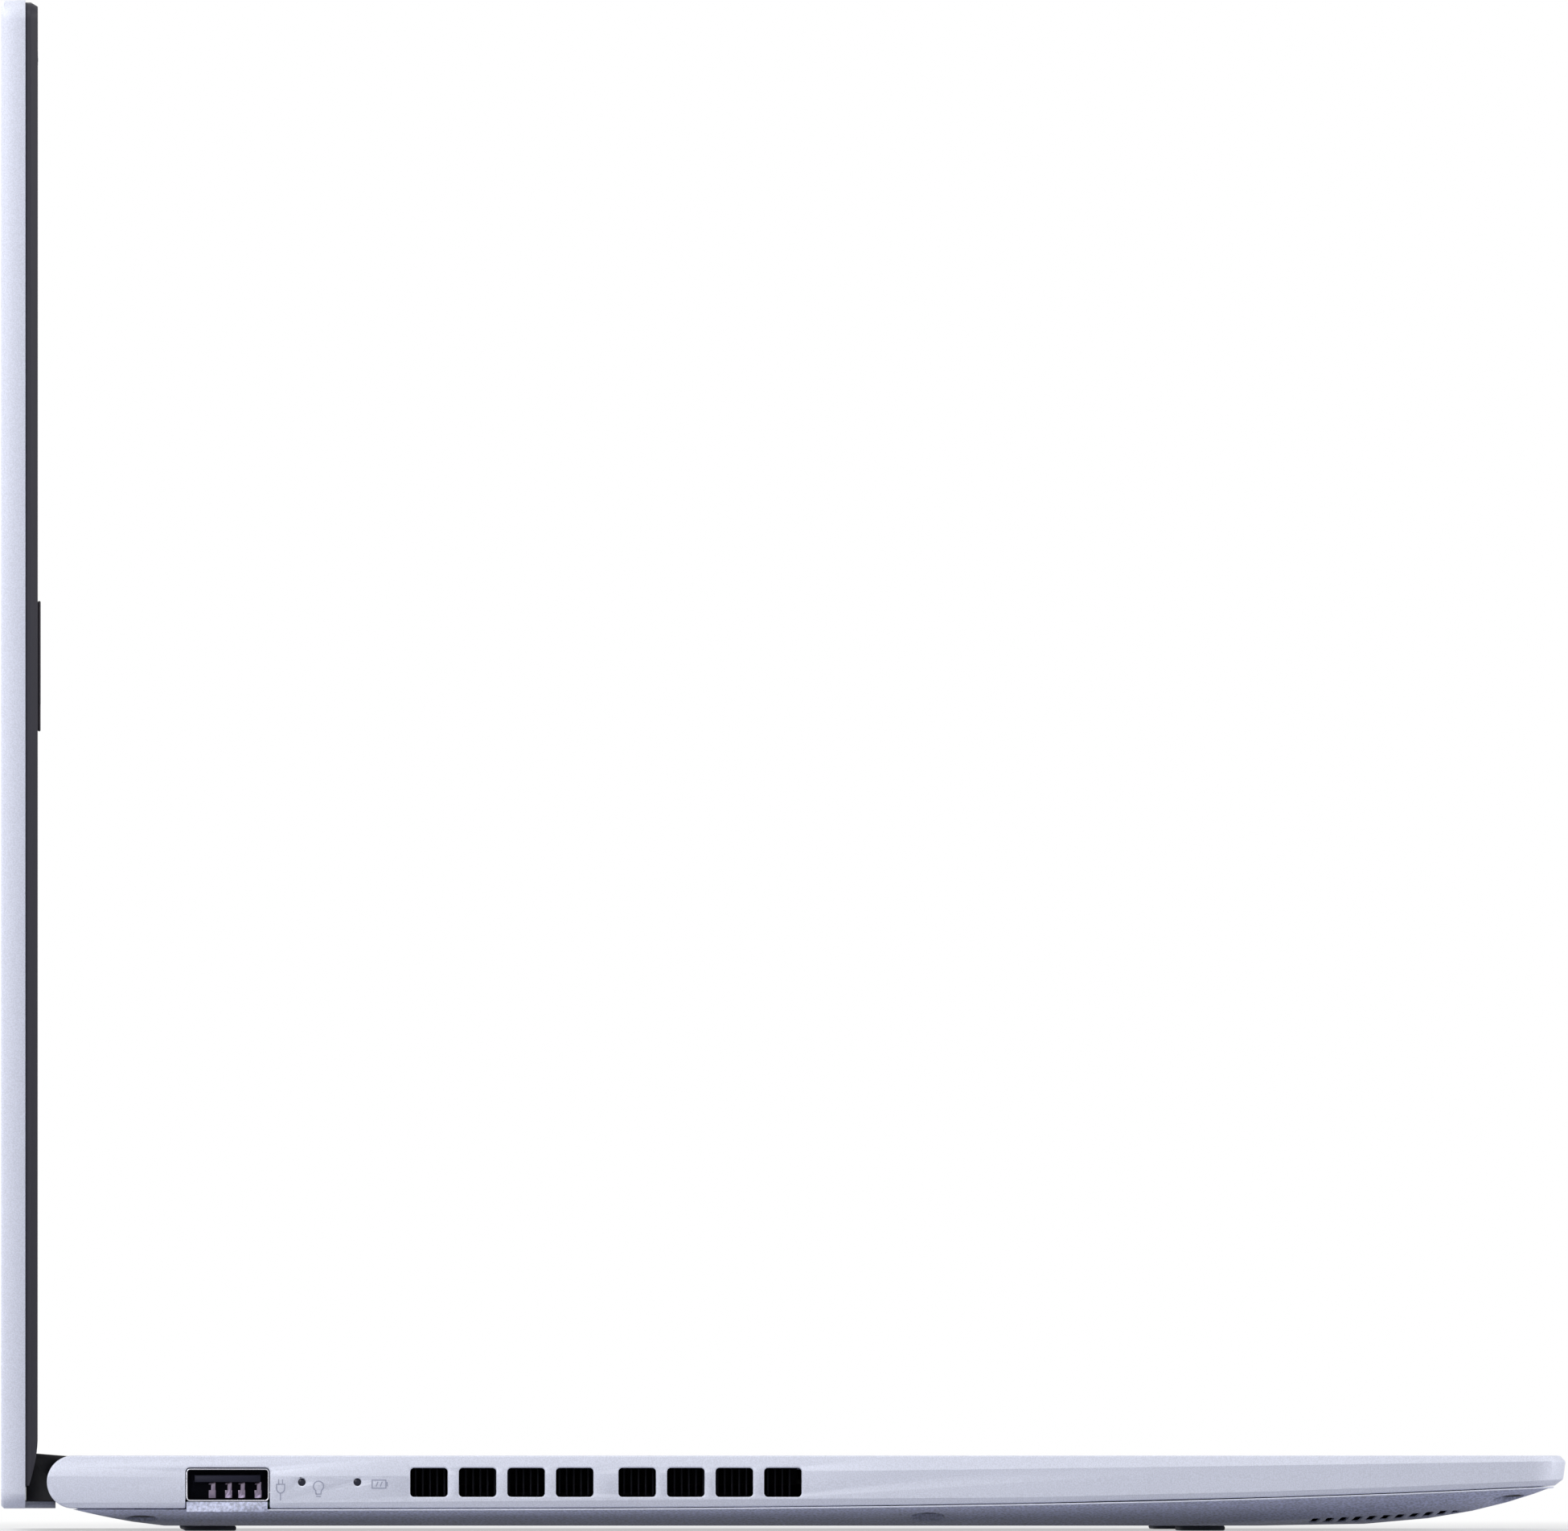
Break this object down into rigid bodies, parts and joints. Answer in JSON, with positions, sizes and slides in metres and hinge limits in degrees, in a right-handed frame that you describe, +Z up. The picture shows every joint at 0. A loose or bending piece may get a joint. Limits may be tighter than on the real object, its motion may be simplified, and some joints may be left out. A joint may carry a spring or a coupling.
{
  "type": "laptop computer",
  "caption": "Clamshell laptop computer with a hinged screen lid, sunken keyboard with a number pad, click touchpad, side vents and side sockets.",
  "frame": {"origin": "under the middle of the open computer's box, on the plane that its rubber feet stand on", "axes": "+X along the width, from the side with one USB socket to the side with many; +Y from the front edge to the hinge; +Z up"},
  "size_m": [0.3596, 0.2396, 0.2342],
  "materials": {
    "silver_shell": "fine metallic satin paint",
    "silver_cover": "matt silver, coarse grain",
    "black_plastic": "matt moulded",
    "black_rubber": "matt rubber",
    "dark_screws": "blackened",
    "steel": "plain pressed",
    "socket_metal": "plated",
    "socket_tongue": "moulded",
    "contact_metal": "plated",
    "circuit_board": "lacquered board",
    "battery_wrap": "film wrap",
    "copper": "bare",
    "black_metal": "blackened",
    "light_guide": "smoky, dark when unlit",
    "touchpad_surface": "satin",
    "screen_glass": "anti-glare film",
    "backlight": "pressed tray",
    "camera_glass": "clear window",
    "antenna_foil": "foil",
    "cable_jacket": "tape wrapped",
    "key_plastic": "fine matt grain"
  },
  "bodies": {
    "base": {"top_case": "silver_shell", "bottom_cover": "silver_cover", "front_feet": "black_rubber", "rear_feet": "black_rubber", "bottom_screws": "dark_screws", "keyboard_plate": "steel", "battery_pack": "battery_wrap", "mainboard": "circuit_board", "heat_pipe": "copper", "heatsink_fins": "black_metal", "fan_housing": "black_plastic", "memory_module": "circuit_board", "storage_drive": "circuit_board", "wireless_card": "steel", "left_speaker": "black_plastic", "right_speaker": "black_plastic", "left_usb_shell": "socket_metal", "left_usb_tongue": "socket_tongue", "left_usb_contacts": "contact_metal", "left_port_board": "circuit_board", "status_lights": "light_guide", "power_socket": "black_plastic", "hdmi_socket": "socket_metal", "right_usb_shells": "socket_metal", "right_usb_tongues": "socket_tongue", "usb_c_socket": "socket_metal", "audio_socket": "black_plastic", "hinge_base_left": "steel", "hinge_base_right": "steel", "hinge_screws": "steel", "touchpad_frame": "steel"},
    "lid": {"lid_cover": "silver_shell", "screen_bezel": "black_plastic", "display_panel": "screen_glass", "backlight_unit": "backlight", "hinge_cover": "black_plastic", "hinge_arm_left": "steel", "hinge_arm_right": "steel", "lid_screws": "steel", "bezel_bumpers": "black_rubber", "camera_module": "camera_glass", "lid_antennas": "antenna_foil", "display_cable": "cable_jacket"},
    "fan": {"fan_rotor": "black_plastic"},
    "touchpad_plate": {"touchpad": "touchpad_surface"},
    "function_keys": {"function_keys": "key_plastic"},
    "power_key": {"power_key": "key_plastic"},
    "number_keys": {"number_keys": "key_plastic"},
    "upper_letter_keys": {"upper_letter_keys": "key_plastic"},
    "home_letter_keys": {"home_letter_keys": "key_plastic"},
    "lower_letter_keys": {"lower_letter_keys": "key_plastic"},
    "left_command_keys": {"left_command_keys": "key_plastic"},
    "space_bar": {"space_bar": "key_plastic"},
    "right_command_keys": {"right_command_keys": "key_plastic"},
    "arrow_keys": {"arrow_keys": "key_plastic"},
    "number_pad_keys": {"number_pad_keys": "key_plastic"}
  },
  "joints": [
    {"name": "lid_hinge", "type": "hinge", "parent": "base", "child": "lid", "pos_m": [0, 0.1087, 0.0075], "axis": [-1, 0, 0], "range_deg": [-90, 45]},
    {"name": "fan_spin", "type": "hinge", "parent": "base", "child": "fan", "pos_m": [-0.13705, 0.02721, 0.003], "axis": [0, 0, 1], "continuous": true},
    {"name": "touchpad_click", "type": "hinge", "parent": "base", "child": "touchpad_plate", "pos_m": [-0.04115, -0.0321, 0.00975], "axis": [1, 0, 0], "range_deg": [0, 0.5], "stiffness_Nm_per_rad": 12, "springref_deg": -0.34},
    {"name": "function_press", "type": "slide", "parent": "base", "child": "function_keys", "axis": [0, 0, -1], "range_m": [0, 0.0014], "stiffness_N_per_m": 800, "springref_m": -0.0006},
    {"name": "power_press", "type": "slide", "parent": "base", "child": "power_key", "axis": [0, 0, -1], "range_m": [0, 0.0014], "stiffness_N_per_m": 800, "springref_m": -0.0006},
    {"name": "number_press", "type": "slide", "parent": "base", "child": "number_keys", "axis": [0, 0, -1], "range_m": [0, 0.0014], "stiffness_N_per_m": 800, "springref_m": -0.0006},
    {"name": "upper_letter_press", "type": "slide", "parent": "base", "child": "upper_letter_keys", "axis": [0, 0, -1], "range_m": [0, 0.0014], "stiffness_N_per_m": 800, "springref_m": -0.0006},
    {"name": "home_letter_press", "type": "slide", "parent": "base", "child": "home_letter_keys", "axis": [0, 0, -1], "range_m": [0, 0.0014], "stiffness_N_per_m": 800, "springref_m": -0.0006},
    {"name": "lower_letter_press", "type": "slide", "parent": "base", "child": "lower_letter_keys", "axis": [0, 0, -1], "range_m": [0, 0.0014], "stiffness_N_per_m": 800, "springref_m": -0.0006},
    {"name": "left_command_press", "type": "slide", "parent": "base", "child": "left_command_keys", "axis": [0, 0, -1], "range_m": [0, 0.0014], "stiffness_N_per_m": 800, "springref_m": -0.0006},
    {"name": "space_bar_press", "type": "slide", "parent": "base", "child": "space_bar", "axis": [0, 0, -1], "range_m": [0, 0.0014], "stiffness_N_per_m": 800, "springref_m": -0.0006},
    {"name": "right_command_press", "type": "slide", "parent": "base", "child": "right_command_keys", "axis": [0, 0, -1], "range_m": [0, 0.0014], "stiffness_N_per_m": 800, "springref_m": -0.0006},
    {"name": "arrow_press", "type": "slide", "parent": "base", "child": "arrow_keys", "axis": [0, 0, -1], "range_m": [0, 0.0014], "stiffness_N_per_m": 800, "springref_m": -0.0006},
    {"name": "number_pad_press", "type": "slide", "parent": "base", "child": "number_pad_keys", "axis": [0, 0, -1], "range_m": [0, 0.0014], "stiffness_N_per_m": 800, "springref_m": -0.0006}
  ]
}
